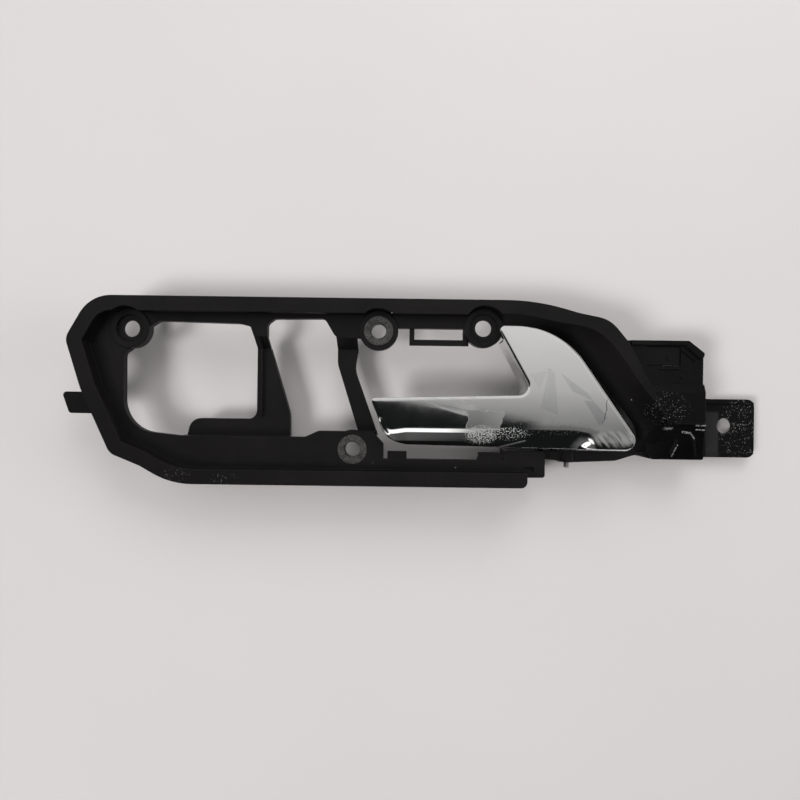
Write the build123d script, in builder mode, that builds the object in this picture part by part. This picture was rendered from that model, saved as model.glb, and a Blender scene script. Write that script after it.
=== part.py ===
"""Inside door release handle of a small car: black moulded carrier, chromed lever and hinge.

The part lies on its back: +Z points out of the face towards the passenger, +X runs along the
carrier from the tongue to the fixing tab, +Y is up on the door. The origin is the centre of the
bounding box, on the back plane. All sizes are millimetres.
"""
import math
import os

from build123d import *

os.makedirs("parts", exist_ok=True)

# ---------------------------------------------------------------- driving dimensions
wall = 2.5                  # general wall of the moulding
frame_height = 103.6        # bezel, lower edge to upper edge
bezel_left = -194.8         # leftmost corner of the bezel
bezel_front = 32.0          # bezel face above the back plane
bezel_depth = 12.0          # outer skirt of the bezel, front to back
flange_width = 8.3          # flat flange between the outer edge and the step
floor_drop = 8.0            # rail floor below the bezel face
bar_drop = 9.0              # cross bars below the rail floor
rim_height = 2.0            # rim behind the floor, round every window
rim_width = 2.0

boss_radius = 11.0          # round screw bosses
boss_rise = 1.0             # boss face above the rail floor
boss_depth = 8.0            # bushed boss, face to back
boss_relief = 0.6           # clear ring round a boss where the flange or the dish rises beside it
bush_hole_radius = 4.3      # clearance for the fixing screws in the bushes
plain_hole_radius = 4.65    # and where there is no bush: two round bosses and the fixing tab
seat_radius = 7.9           # sunk seat of the plain bosses
seat_depth = 1.8
seat_floor = 2.0            # plastic left under a sunk seat
bush_flange_radius = 8.2
bush_flange_thickness = 1.4
bush_barrel_radius = 6.2

pivot_x = 86.0              # lever axis, along Y
pivot_z = 18.0
pin_radius = 1.5
pin_clearance = 0.05        # radial, pin in the lever's lugs
pin_stub = 3.4              # pin end that stands out below the lip
lug_radius = 4.2
side_play = 0.5             # beside each lug
crank_length = 13.0         # lever axis to cable eye

lever_front = 34.5          # lever face above the back plane
lever_skin = 2.2
lever_rim = 5.5             # depth of the lever's outer rim
grip_depth = 12.5           # depth of the finger bar
return_depth = 14.0         # depth of the slanted wall beside the finger gap
lever_gap = 1.2             # lever to carrier at rest, where nothing dips

lip_front = 20.0            # ledge under the lever
rail_right = 60.7           # where the lower rail ends at the catch block
housing_left = 112.0
housing_right = 162.5
upper_box_front = 21.0
lower_box_front = 24.0
tab_length = 38.8           # fixing tab beyond the housing
tab_front = 6.0
tongue_reach = 6.95         # tongue beyond the bezel
cable_slot_radius = 3.0
soft_gap = 0.3              # rubber to the piece it stops

# ---------------------------------------------------------------- stations worked out from them
top = frame_height / 2
bottom = -frame_height / 2
floor_front = bezel_front - floor_drop
floor_back = floor_front - wall
bezel_back = bezel_front - bezel_depth
bar_front = floor_front - bar_drop
bar_back = bar_front - wall
boss_front = floor_front + boss_rise
tab_end = housing_right + tab_length

left_boss = (bezel_left + 32.5, top - 17.4)
upper_boss = (-22.5, top - 17.0)
lower_boss = (-36.6, bottom + 19.6)
right_boss = (36.6, top - 14.8)

upper_rail_edge = top - 20.9        # rail edge where the bars start
finger_top = top - 15.3             # rail edge above the finger gap
finger_bottom = bottom + 14.5       # rail edge below it
left_bar_foot = bottom + 26.2       # rail edge where the left bar ends
slanted_bar_foot = bottom + 29.8    # rail edge where the slanted bar ends
rail_step_y = bottom + flange_width # step along the lower rail
rail_end = 24.0                     # last stretch of the lower rail, beside the catch block
dish_left = 45.0                    # where the rail floor turns into the dish
well_bottom = bottom + 20.0         # ledge edge under the lever
well_centre = Vector(75, bottom + 40)
ledge_end = 130.0                   # where the ledge under the lever meets the housing


def rounded(corners):
    """Closed outline through (x, y, corner radius) triples."""
    points = [(x, y) for x, y, _ in corners]
    radii = [radius for _, _, radius in corners]
    return FilletPolyline(*points, radius=radii, close=True)


# Outer edge of the bezel, clockwise from the upper left. The lower right stretch is the edge
# of the ledge under the lever.
outer_edge = [
    (bezel_left + 13.6, top, 20),
    (64.5, top, 120),
    (88.0, top - 6.6, 40),
    (105.3, top - 10.0, 18),
    (116.3, top - 23.3, 15),
    (140.5, bottom + 33.8, 4),
    (130.0, bottom + 16.9, 3),
    (125.0, bottom + 18.4, 6),
    (113.3, bottom + 14.7, 8),
    (89.3, bottom + 13.5, 5),
    (72.2, bottom + 15.2, 0),
    (72.2, bottom + 4.9, 2),
    (rail_right, bottom + 4.9, 0),
    (rail_right, bottom, 3.5),
    (bezel_left + 59.0, bottom, 45),
    (bezel_left + 41.8, bottom + 9.8, 15),
    (bezel_left + 25.2, bottom + 16.5, 8),
    (bezel_left + 8.8, 0, 40),
    (bezel_left, top - 23.9, 8),
]

# Opening in the rail floor: the left window, the middle window and the finger gap are one
# opening here, and the bars cross it lower down. It runs in under the round bosses.
bay_edge = [
    (bezel_left + 28.6, top - 31.5, 3),
    (bezel_left + 34.5, top - 27.3, 0),
    (left_boss[0] + 9.6, left_boss[1] + 0.6, 0),
    (bezel_left + 48.3, top - 12.8, 5),
    (-101.0, top - 13.8, 8),
    (-95.0, top - 15.2, 2),
    (-92.9, upper_rail_edge, 0),
    (-85.3, upper_rail_edge, 0),
    (-85.3, top - 14.0, 3),
    (-81.5, top - 10.9, 3),
    (-53.0, top - 10.5, 3),
    (-47.7, top - 19.4, 2),
    (-45.6, top - 21.2, 0),
    (upper_boss[0] - 7.5, upper_boss[1] - 4.2, 0),
    (upper_boss[0] + 7.5, upper_boss[1] - 4.2, 0),
    (upper_boss[0] + 7.5, finger_top, 0),
    (right_boss[0] - 6.0, finger_top, 0),
    (right_boss[0] + 6.0, right_boss[1] - 6.0, 0),
    (dish_left + 5.0, right_boss[1] - 6.0, 0),
    (dish_left + 5.0, finger_bottom, 0),
    (-19.0, finger_bottom, 0),
    (-19.0, bottom + 23.0, 1),
    (-25.4, slanted_bar_foot, 1),
    (-56.1, slanted_bar_foot, 2),
    (-63.7, left_bar_foot, 2),
    (bezel_left + 60.0, left_bar_foot, 0),
    (bezel_left + 28.9, bottom + 29.4, 19),
]

# Dish beside the lever: its edge at the bezel face and its edge at the well.
dish_crest = [
    (dish_left - 3.0, top - 7.9),
    (61.4, top - 8.7),
    (77.4, top - 12.0),
    (97.7, top - 16.4),
    (109.9, top - 27.3),
    (125.5, top - 48.9),
    (136.8, bottom + 36.0),
    (133.0, bottom + 24.0),
    (123.0, well_bottom),
]
dish_foot = [
    (dish_left - 3.0, top - 13.4),
    (61.5, top - 13.5),
    (78.0, top - 19.2),
    (93.5, top - 31.6),
    (106.5, top - 46.8),
    (117.0, bottom + 43.3),
    (124.2, bottom + 31.0),
    (123.6, bottom + 24.0),
    (119.0, well_bottom),
]
dish_foot_z = 22.0


def dish_section(points, z, grow):
    """Closed section of the dish at height z, pushed out from the well's centre by grow."""
    moved = []
    for x, y in points:
        away = (Vector(x, y) - well_centre).normalized() * grow
        moved.append((x + away.X, y + away.Y))
    start = moved[0]
    end = moved[-1]
    with BuildSketch(Plane.XY.offset(z)) as section:
        with BuildLine():
            Spline(*moved)
            Polyline(end, (start[0], end[1]), start)
        make_face()
    return section.sketch


# Empty space in front of the dish, and the same space grown by the wall for its back.
with BuildPart() as dish_space:
    loft([dish_section(dish_foot, dish_foot_z, 0), dish_section(dish_crest, bezel_front + 0.01, 0)])

with BuildPart() as dish_back:
    loft([
        dish_section(dish_foot, dish_foot_z - wall, wall),
        dish_section(dish_crest, bezel_front - wall, wall),
    ])

# Everything behind the foot of the dish is open to the back for the moving lever.
with BuildPart() as well_space:
    with BuildSketch():
        add(dish_section(dish_foot, 0, 0))
    extrude(amount=dish_foot_z + 0.01)

# ---------------------------------------------------------------- bezel and rail floor
with BuildSketch() as outer:
    with BuildLine():
        rounded(outer_edge)
    make_face()

with BuildSketch() as bay:
    with BuildLine():
        rounded(bay_edge)
    make_face()

# Where the step and the flat floor run: left of the dish, and along the lower rail.
with BuildSketch() as rails:
    with Locations((dish_left, 0)):
        Rectangle(600, 2 * frame_height, align=(Align.MAX, Align.CENTER))
    with Locations((rail_right, well_bottom)):
        Rectangle(600, frame_height, align=(Align.MAX, Align.MAX))

# Below the dish the face falls away to the ledge under the lever.
with BuildPart() as falling_face:
    with BuildSketch(Plane.YZ.offset(rail_right)):
        Polygon(
            (well_bottom, lip_front),
            (bottom + 40.0, bezel_front),
            (bottom + 40.0, bezel_front + wall),
            (bottom - wall, bezel_front + wall),
            (bottom - wall, lip_front),
            align=None,
        )
    extrude(amount=100)

with BuildPart() as falling_corner:
    add(falling_face.part)
    with Locations((ledge_end, 0, 0)):
        Box(200, 200, 200, align=(Align.MAX, Align.CENTER, Align.CENTER), mode=Mode.INTERSECT)

with BuildPart() as dish_underside:
    with BuildSketch(Plane.XY.offset(bezel_back)):
        add(offset(outer.sketch, amount=-wall, mode=Mode.PRIVATE))
        add(rails.sketch, mode=Mode.SUBTRACT)
    extrude(amount=bezel_depth - wall)
    add(dish_back.part, mode=Mode.SUBTRACT)
    with Locations((0, 0, -1.2 * wall)):
        add(falling_face.part, mode=Mode.SUBTRACT)

with BuildSketch() as step_plan:
    add(offset(outer.sketch, amount=-flange_width, mode=Mode.PRIVATE))
    add(rails.sketch, mode=Mode.INTERSECT)
    # the step runs on straight to the end of the lower rail
    with Locations((rail_right, rail_step_y)):
        Rectangle(rail_end, well_bottom - rail_step_y, align=(Align.MAX, Align.MIN))

with BuildPart() as bezel:
    with BuildSketch(Plane.XY.offset(bezel_back)):
        add(outer.sketch)
    extrude(amount=bezel_depth)
    # the step down to the rail floor
    with BuildSketch(Plane.XY.offset(floor_front)):
        add(step_plan.sketch)
    extrude(amount=floor_drop, mode=Mode.SUBTRACT)
    # the groove behind the flange, between the outer skirt and the step
    with BuildSketch(Plane.XY.offset(bezel_back)):
        add(offset(outer.sketch, amount=-wall, mode=Mode.PRIVATE))
        add(offset(outer.sketch, amount=-(flange_width - wall), mode=Mode.PRIVATE), mode=Mode.SUBTRACT)
        add(rails.sketch, mode=Mode.INTERSECT)
    extrude(amount=bezel_depth - wall, mode=Mode.SUBTRACT)
    # the back of the floor
    with BuildSketch(Plane.XY.offset(bezel_back)):
        add(offset(outer.sketch, amount=-(flange_width - wall), mode=Mode.PRIVATE))
        add(rails.sketch, mode=Mode.INTERSECT)
    extrude(amount=floor_back - bezel_back, mode=Mode.SUBTRACT)
    add(dish_underside.part, mode=Mode.SUBTRACT)
    # walls behind the scallops that clear the round bosses
    with BuildSketch(Plane.XY.offset(bezel_back)):
        with Locations(left_boss, upper_boss, right_boss):
            Circle(boss_radius + boss_relief + wall)
        add(outer.sketch, mode=Mode.INTERSECT)
        add(step_plan.sketch, mode=Mode.SUBTRACT)
    extrude(amount=bezel_depth)
    # step wall and floor of the last stretch of the lower rail
    with Locations((rail_right, rail_step_y, floor_back)):
        Box(rail_end, wall, bezel_front - floor_back, align=(Align.MAX, Align.MAX, Align.MIN))
        Box(rail_end, finger_bottom - rail_step_y, wall, align=(Align.MAX, Align.MIN, Align.MIN))
    # rims round the openings
    with BuildSketch(Plane.XY.offset(floor_back - rim_height)):
        add(offset(bay.sketch, amount=rim_width, kind=Kind.INTERSECTION, mode=Mode.PRIVATE))
        add(rails.sketch, mode=Mode.INTERSECT)
    extrude(amount=rim_height)
    with BuildSketch(Plane.XY.offset(floor_back - rim_height)):
        add(bay.sketch)
    extrude(amount=bezel_front, mode=Mode.SUBTRACT)
    add(dish_space.part, mode=Mode.SUBTRACT)
    add(well_space.part, mode=Mode.SUBTRACT)
    add(falling_face.part, mode=Mode.SUBTRACT)
    # the scallops themselves
    with BuildSketch(Plane.XY.offset(floor_front)):
        with Locations(left_boss, upper_boss, right_boss):
            Circle(boss_radius + boss_relief)
    extrude(amount=floor_drop, mode=Mode.SUBTRACT)

# ---------------------------------------------------------------- cross bars
ramp_run = 6.0                      # length of the sloped end of each bar
ramp_y = upper_rail_edge            # where the bars leave the upper rail

left_bar_edge = [
    (-92.9, ramp_y - ramp_run, 0),
    (-92.9, bottom + 35.8, 5),
    (bezel_left + 64.0, bottom + 35.8, 7),
    (bezel_left + 61.2, left_bar_foot - wall, 0),
    (-73.6, left_bar_foot - wall, 0),
    (-73.6, bottom + 38.5, 18),
    (-85.3, ramp_y - ramp_run, 0),
]
slanted_bar_edge = [
    (-46.4, ramp_y - ramp_run, 0),
    (-46.4, top - 35.3, 14),
    (-33.4, slanted_bar_foot - wall, 0),
    (-22.6, slanted_bar_foot - wall, 0),
    (-36.4, top - 38.4, 16),
    (-34.6, ramp_y - ramp_run, 0),
]

with BuildPart() as bars:
    for edge in (left_bar_edge, slanted_bar_edge):
        with BuildSketch(Plane.XY.offset(bar_back)) as plan:
            with BuildLine():
                rounded(edge)
            make_face()
        extrude(amount=wall)
        # stiffening rim behind the bar
        with BuildSketch(Plane.XY.offset(bar_back - rim_height)):
            add(plan.sketch.moved(Location((0, 0, -bar_back))))
            offset(amount=-rim_width, mode=Mode.SUBTRACT)
        extrude(amount=rim_height)
    # sloped upper ends, up to the rail floor
    for west, east in ((-92.9, -85.3), (-46.4, -34.6)):
        with BuildSketch(Plane.YZ.offset(west)):
            Polygon(
                (ramp_y - ramp_run, bar_front),
                (ramp_y, floor_front),
                (ramp_y + wall, floor_front),
                (ramp_y + wall, floor_back),
                (ramp_y + 0.5, floor_back),
                (ramp_y - ramp_run + 0.5, bar_back),
                (ramp_y - ramp_run - wall, bar_back),
                (ramp_y - ramp_run - wall, bar_front),
                align=None,
            )
        extrude(amount=east - west)
    # step up to the lower rail
    for west, east, foot in (
        (bezel_left + 61.2, -73.6, left_bar_foot),
        (-33.6, -23.0, slanted_bar_foot),
    ):
        with Locations((west, foot, bar_back)):
            Box(
                east - west, wall, floor_back - bar_back + 0.5,
                align=(Align.MIN, Align.MAX, Align.MIN),
            )
    # rib that stands on the left bar
    with BuildSketch(Plane.YZ.offset(-90.6)):
        Polygon(
            (bottom + 37.5, bar_front),
            (bottom + 37.5, bar_front + 2.2),
            (ramp_y - ramp_run, bar_front + 2.2),
            (ramp_y - 0.7, floor_front),
            (ramp_y, floor_back),
            (ramp_y - ramp_run, bar_front - 0.5),
            align=None,
        )
    extrude(amount=1.3)

# ---------------------------------------------------------------- mechanism housing
housing_top = top - 20.1
housing_bottom = bottom + 16.0
step_y = 6.8                        # upper box to lower box
step_run = 4.2                      # slope at the top of the lower box
fold_y = -15.0                      # where the lower box starts to fall away
fold_front = 22.0                   # its height at the lower edge

housing_plan = [
    (housing_left - 20, well_bottom, 0),
    (housing_left - 20, housing_top, 0),
    (housing_right - 9.0, housing_top, 2),
    (housing_right, housing_top - 7.2, 2),
    (housing_right, housing_bottom, 1),
    (ledge_end + 3.5, housing_bottom, 1),
    (ledge_end, well_bottom, 0),
]
with BuildSketch() as plan_outline:
    with BuildLine():
        rounded(housing_plan)
    make_face()
with BuildSketch(Plane.YZ) as section_outline:
    Polygon(
        (housing_top, -2 * wall),
        (housing_top, upper_box_front),
        (step_y, upper_box_front),
        (step_y, upper_box_front + 1.2),
        (step_y - step_run, lower_box_front),
        (fold_y, lower_box_front),
        (housing_bottom, fold_front),
        (housing_bottom, -2 * wall),
        align=None,
    )

with BuildPart() as housing_inside:
    with BuildSketch(Plane.XY.offset(-wall)):
        add(offset(plan_outline.sketch, amount=-wall, mode=Mode.PRIVATE))
    extrude(amount=bezel_front)
    with BuildSketch(Plane.YZ):
        add(offset(section_outline.sketch_local, amount=-wall, kind=Kind.INTERSECTION, mode=Mode.PRIVATE))
    extrude(amount=housing_right, mode=Mode.INTERSECT)

with BuildPart() as housing:
    with BuildSketch():
        add(plan_outline.sketch)
    extrude(amount=bezel_front)
    with BuildSketch(Plane.YZ.offset(housing_left)):
        add(section_outline.sketch_local)
    extrude(amount=housing_right - housing_left, mode=Mode.INTERSECT)
    add(housing_inside.part, mode=Mode.SUBTRACT)
    # beside the ledge it stays behind the falling face
    add(falling_corner.part, mode=Mode.SUBTRACT)

# ---------------------------------------------------------------- well walls, ledge and hinge ears
ledge_edge = [
    (rail_right, well_bottom + wall, 0),
    (housing_right - 1.0, well_bottom + wall, 0),
    (housing_right - 1.0, housing_bottom, 0),
    (133.5, housing_bottom, 2),
    (125.0, bottom + 18.4, 6),
    (113.3, bottom + 14.7, 8),
    (89.3, bottom + 13.5, 5),
    (72.2, bottom + 15.2, 0),
    (rail_right, bottom + 15.2, 0),
]
ledge_wall_y = bottom + 13.7        # outer face of the ledge's wall at the hinge pin
ear_radius = lug_radius + 0.4
crank_y = top - 33.8                # cable arm, in line with the upper lug
lug_width = 5.0
ear_front_y = crank_y + lug_width / 2 + side_play
pin_top_y = ear_front_y + 3.6       # closed end of the pin's bore
bridge_x = 72.2
bridge_front = 14.0
buffer_y = (-14.0, 8.0)
buffer_stem_radius = 1.6
block_front = floor_front
block_depth = 18.0
catch_left = 53.5                   # catch groove in the block's face

with BuildPart() as well_wall:
    with BuildSketch():
        add(dish_section(dish_foot, 0, wall))
        add(dish_section(dish_foot, 0, 0), mode=Mode.SUBTRACT)
        with Locations((bridge_x - wall / 2, well_bottom)):
            Rectangle(200, 200, align=(Align.MIN, Align.MIN), mode=Mode.INTERSECT)
    extrude(amount=dish_foot_z - wall / 2)

with BuildPart() as ledge:
    with BuildSketch(Plane.XY.offset(lip_front - wall)) as ledge_plan:
        with BuildLine():
            rounded(ledge_edge)
        make_face()
    extrude(amount=wall)
    # the wall that hangs from its edge: the plan less itself moved inwards
    with BuildSketch():
        add(ledge_plan.sketch.moved(Location((0, 0, wall - lip_front))))
        add(ledge_plan.sketch.moved(Location((0, wall, wall - lip_front))), mode=Mode.SUBTRACT)
        with Locations((70.0, 0)):
            Rectangle(200, 200, align=(Align.MIN, Align.CENTER), mode=Mode.INTERSECT)
    extrude(amount=lip_front)
    # right of the dish the housing takes over
    with Locations((134.5, 0, 0)):
        Box(100, 200, 100, align=(Align.MIN, Align.CENTER, Align.CENTER), mode=Mode.SUBTRACT)

with BuildPart() as block:
    with BuildSketch(Plane.XY.offset(block_front - block_depth)):
        with Locations((49.8, bottom + 4.9)):
            Rectangle(22.4, well_bottom - bottom - 4.9, align=Align.MIN)
    extrude(amount=block_depth)
    fillet(block.edges().filter_by(Axis.Z).group_by(Axis.X)[-1], radius=1.5)
    offset(amount=-wall, openings=block.faces().sort_by(Axis.Z)[0])
    # catch groove in its face, in line with the step of the lower rail
    with Locations((catch_left, rail_step_y, block_front)):
        Box(12.3, 2.4, 1.3, align=(Align.MIN, Align.MIN, Align.MAX), mode=Mode.SUBTRACT)

# Frame behind the lever that ties the two ears together.
with BuildPart() as bridge:
    with Locations((bridge_x, well_bottom - wall, 3.0)):
        Box(
            wall, top - 17.5 - well_bottom + wall, bridge_front - 3.0,
            align=(Align.CENTER, Align.MIN, Align.MIN),
        )
    with Locations(*[(bridge_x, y, bridge_front) for y in buffer_y]):
        Cylinder(3.9, 8.0, align=(Align.CENTER, Align.CENTER, Align.MAX))

with BuildPart() as upper_ear:
    with BuildSketch(Plane.XZ.offset(-ear_front_y)):
        with Locations((pivot_x, pivot_z)):
            Circle(ear_radius)
        with Locations((pivot_x, pivot_z)):
            Rectangle(2 * ear_radius, pivot_z - 6.0, align=(Align.CENTER, Align.MAX))
    extrude(amount=-9.0)

with BuildPart() as lower_ear:
    with BuildSketch(Plane.XZ.offset(-ledge_wall_y)):
        with Locations((pivot_x, pivot_z)):
            Circle(ear_radius)
        with Locations((pivot_x, pivot_z)):
            Rectangle(2 * ear_radius, pivot_z, align=(Align.CENTER, Align.MAX))
    extrude(amount=ledge_wall_y - well_bottom)

# ---------------------------------------------------------------- tongue, tab, loop, snap tabs
with BuildPart() as tongue:
    with BuildSketch(Plane.XY.offset(bezel_back - 0.5)):
        with BuildLine():
            rounded([
                (bezel_left + 11.0, -1.6, 0),
                (bezel_left - tongue_reach - 0.4, -1.6, 2),
                (bezel_left - tongue_reach + 4.0, -13.8, 2),
                (bezel_left + 16.0, -13.8, 0),
            ])
        make_face()
    extrude(amount=wall)

tab_y = bottom + 33.5               # middle of the fixing tab
tab_width = 34.6
with BuildPart() as tab:
    with BuildSketch(Plane.XY.offset(tab_front - wall)) as tab_plan:
        with BuildLine():
            rounded([
                (housing_right - wall, tab_y - tab_width / 2, 0),
                (tab_end, tab_y - tab_width / 2, 5),
                (tab_end, tab_y + tab_width / 2, 5),
                (housing_right - wall, tab_y + tab_width / 2, 0),
            ])
        make_face()
    extrude(amount=wall)
    # raised rims along both long edges and a thicker root
    with BuildSketch(Plane.XY.offset(tab_front)):
        add(tab_plan.sketch.moved(Location((0, 0, wall - tab_front))))
        with Locations((housing_right + tab_length / 2, tab_y)):
            Rectangle(2 * tab_length, tab_width - 6.0, mode=Mode.SUBTRACT)
    extrude(amount=0.8)
    with Locations((housing_right - wall, tab_y, tab_front)):
        Box(wall + 10.0, tab_width - 6.0, 0.6, align=(Align.MIN, Align.CENTER, Align.MIN))
    with Locations((housing_right + 21.2, tab_y + 1.4, 0)):
        Cylinder(plain_hole_radius, 40, mode=Mode.SUBTRACT)
    # gussets behind, into the housing's wall
    for y in (tab_y - tab_width / 2 + 3.0, tab_y + tab_width / 2 - 1.2):
        with BuildSketch(Plane.XZ.offset(-y)):
            Polygon(
                (housing_right - wall, tab_front - wall),
                (tab_end - 14.0, tab_front - wall),
                (housing_right, 0.6),
                (housing_right - wall, 0.6),
                align=None,
            )
        extrude(amount=1.8)

with BuildPart() as loop:
    with BuildSketch(Plane.XY.offset(floor_back - rim_height)):
        with Locations((-5.1, finger_top + 1.0)):
            Rectangle(33.6, 10.4, align=(Align.MIN, Align.MAX))
        with Locations((-2.3, finger_top + 2.0)):
            Rectangle(27.6, 8.1, align=(Align.MIN, Align.MAX), mode=Mode.SUBTRACT)
    extrude(amount=wall)

with BuildPart() as snap_tabs:
    for west, east in ((-16.7, -5.9), (34.6, 47.5)):
        with Locations((west, finger_bottom - 1.0, floor_back)):
            Box(east - west, 5.4, wall - 0.4, align=Align.MIN)
        with Locations((west, finger_bottom - 1.0, floor_back - rim_height - 2.0)):
            Box(east - west, 1.0 + 1.6, rim_height + 2.0, align=Align.MIN)

# Cross ribbed posts that stand on the back plane.
post_places = [
    (bezel_left + 7.4, 18.0),
    (-150.0, top - 4.4),
    (-30.0, top - 4.4),
    (-95.0, bottom + 4.4),
    (20.0, bottom + 4.4),
]
with BuildPart() as posts:
    with Locations(*[(x, y, 0) for x, y in post_places]):
        Box(7.0, 1.8, bezel_front - wall, align=(Align.CENTER, Align.CENTER, Align.MIN))
        Box(1.8, 7.0, bezel_front - wall, align=(Align.CENTER, Align.CENTER, Align.MIN))

# ---------------------------------------------------------------- screw bosses
seat_floor_back = boss_front - seat_depth - seat_floor
bush_proud = 0.3                    # bush face in front of the plastic round it
bush_bottom = boss_front - boss_depth

with BuildPart() as bosses:
    for place in (left_boss, right_boss):
        with Locations((*place, floor_back - rim_height)):
            Cylinder(
                boss_radius, boss_front - floor_back + rim_height,
                align=(Align.CENTER, Align.CENTER, Align.MIN),
            )
    for place, front in ((upper_boss, boss_front), (lower_boss, floor_front)):
        with Locations((*place, floor_back - rim_height)):
            Cylinder(
                boss_radius, front - floor_back + rim_height,
                align=(Align.CENTER, Align.CENTER, Align.MIN),
            )
        with Locations((*place, bush_bottom)):
            Cylinder(
                bush_barrel_radius + wall, boss_depth - boss_rise,
                align=(Align.CENTER, Align.CENTER, Align.MIN),
            )

# What the bosses lose again: sunk seats, screw holes and the bores for the bushes.
with BuildPart() as boss_holes:
    for place in (left_boss, right_boss):
        with Locations((*place, boss_front - seat_depth)):
            Cylinder(seat_radius, 10, align=(Align.CENTER, Align.CENTER, Align.MIN))
        with Locations((*place, 0)):
            Cylinder(boss_radius - wall, seat_floor_back, align=(Align.CENTER, Align.CENTER, Align.MIN))
            Cylinder(plain_hole_radius, bezel_front, align=(Align.CENTER, Align.CENTER, Align.MIN))
    for place, front in ((upper_boss, boss_front), (lower_boss, floor_front)):
        with Locations((*place, front + bush_proud - bush_flange_thickness)):
            Cylinder(bush_flange_radius, 10, align=(Align.CENTER, Align.CENTER, Align.MIN))
        with Locations((*place, 0)):
            Cylinder(bush_barrel_radius, bezel_front, align=(Align.CENTER, Align.CENTER, Align.MIN))

# ---------------------------------------------------------------- details of the housing
seat_y = housing_top - 10.7             # line of the cable sheath
window_corner = (130.0, seat_y - 3.6)   # opening over the cable seat, lower left corner
window_size = (19.6, 11.0)
seat_rib_x = 139.0
bead_left = 145.0
cable_z = pivot_z - crank_length

with BuildPart() as housing_details:
    # proud lip along the upper edge and round the cut corner
    with BuildSketch(Plane.XY.offset(upper_box_front - 1.0)):
        with BuildLine():
            rounded([
                (housing_left + 9.0, housing_top - 2.6, 0),
                (housing_left + 9.0, housing_top, 0),
                (housing_right - 8.8, housing_top, 2),
                (housing_right + 0.2, housing_top - 7.0, 1.5),
                (housing_right - 0.4, housing_top - 9.4, 0),
                (housing_right - 2.0, housing_top - 10.4, 0),
                (housing_right - 10.4, housing_top - 2.6, 0),
            ])
        make_face()
    extrude(amount=2.4)
    # two short ribs behind the cut corner
    with Locations(
        Location((housing_right - 6.6, housing_top - 6.0, upper_box_front), (0, 0, -38.6)),
        Location((housing_right - 8.4, housing_top - 8.2, upper_box_front), (0, 0, -38.6)),
    ):
        Box(10.0, 1.2, 1.6)
    # rib and pip below the window
    with Locations((window_corner[0] + 13.4, window_corner[1] - 1.9, upper_box_front)):
        Box(11.4, 0.7, 0.5, align=(Align.CENTER, Align.CENTER, Align.MIN))
    with Locations((window_corner[0] + 20.4, window_corner[1] - 6.1, upper_box_front)):
        Cylinder(0.9, 0.6, align=(Align.CENTER, Align.CENTER, Align.MIN))
    # stiffening ribs down the falling face of the lower box
    for high, low in (((147.1, -24.6), (143.2, -32.6)), ((156.0, -18.9), (157.4, -34.2))):
        run = Vector(*low) - Vector(*high)
        middle = (Vector(*low) + Vector(*high)) / 2
        turn = math.degrees(math.atan2(run.Y, run.X))
        with Locations(Location((middle.X, middle.Y, fold_front - 1.0), (0, 0, turn))):
            Box(run.length, 1.2, 2.4, align=(Align.CENTER, Align.CENTER, Align.MIN))
    # bead across the fold of the lower box
    with Locations((bead_left, fold_y - 0.6, lower_box_front - 0.4)):
        Cylinder(
            1.3, housing_right - bead_left,
            rotation=(0, 90, 0), align=(Align.CENTER, Align.CENTER, Align.MIN),
        )
    # rib that seats the cable sheath, and the cable's own line of sight to the lever
    with Locations((seat_rib_x, housing_top - wall, 1.0)):
        Box(wall, 20.0, upper_box_front - wall - 1.0, align=(Align.CENTER, Align.MAX, Align.MIN))
    # shelf between upper and lower box
    with Locations((housing_right - 1.0, step_y - wall, 4.0)):
        Box(28.0, 0.7 * wall, upper_box_front - 5.0, align=(Align.MAX, Align.MIN, Align.MIN))

with BuildPart() as housing_cuts:
    with Locations((*window_corner, upper_box_front - wall - 1.0)):
        Box(*window_size, wall + 2.0, align=Align.MIN)
    # slots for the cable, open to the back
    for west, east, y in (
        (seat_rib_x - wall, seat_rib_x + wall, seat_y),
        (housing_right - 2 * wall, housing_right + 2 * wall, seat_y),
        (pivot_x + 4.0, housing_left + 4.0, crank_y),
    ):
        with BuildSketch(Plane.YZ.offset(west)):
            with Locations((y, cable_z)):
                Circle(cable_slot_radius)
                Rectangle(2 * cable_slot_radius, cable_z + 1.0, align=(Align.CENTER, Align.MAX))
        extrude(amount=east - west)

# ---------------------------------------------------------------- carrier
with BuildPart() as carrier:
    add(bezel.part)
    add(bars.part)
    add(loop.part)
    add(snap_tabs.part)
    add(posts.part)
    add(tongue.part)
    add(block.part)
    add(housing.part)
    add(housing_details.part)
    add(ledge.part)
    add(dish_space.part, mode=Mode.SUBTRACT)
    add(well_space.part, mode=Mode.SUBTRACT)
    add(bosses.part)
    add(well_wall.part)
    add(bridge.part)
    add(upper_ear.part)
    add(lower_ear.part)
    add(tab.part)
    add(boss_holes.part, mode=Mode.SUBTRACT)
    add(housing_cuts.part, mode=Mode.SUBTRACT)
    # bore for the hinge pin, closed at its upper end
    with BuildSketch(Plane.XZ.offset(-pin_top_y)):
        with Locations((pivot_x, pivot_z)):
            Circle(pin_radius)
    extrude(amount=pin_top_y - bottom, mode=Mode.SUBTRACT)
    # sockets for the rubber buffers
    with Locations(*[(bridge_x, y, bridge_front) for y in buffer_y]):
        Cylinder(buffer_stem_radius, 6.0, align=(Align.CENTER, Align.CENTER, Align.MAX), mode=Mode.SUBTRACT)
carrier.part.label = "carrier"
export_step(carrier.part, "parts/carrier.step")

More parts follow.
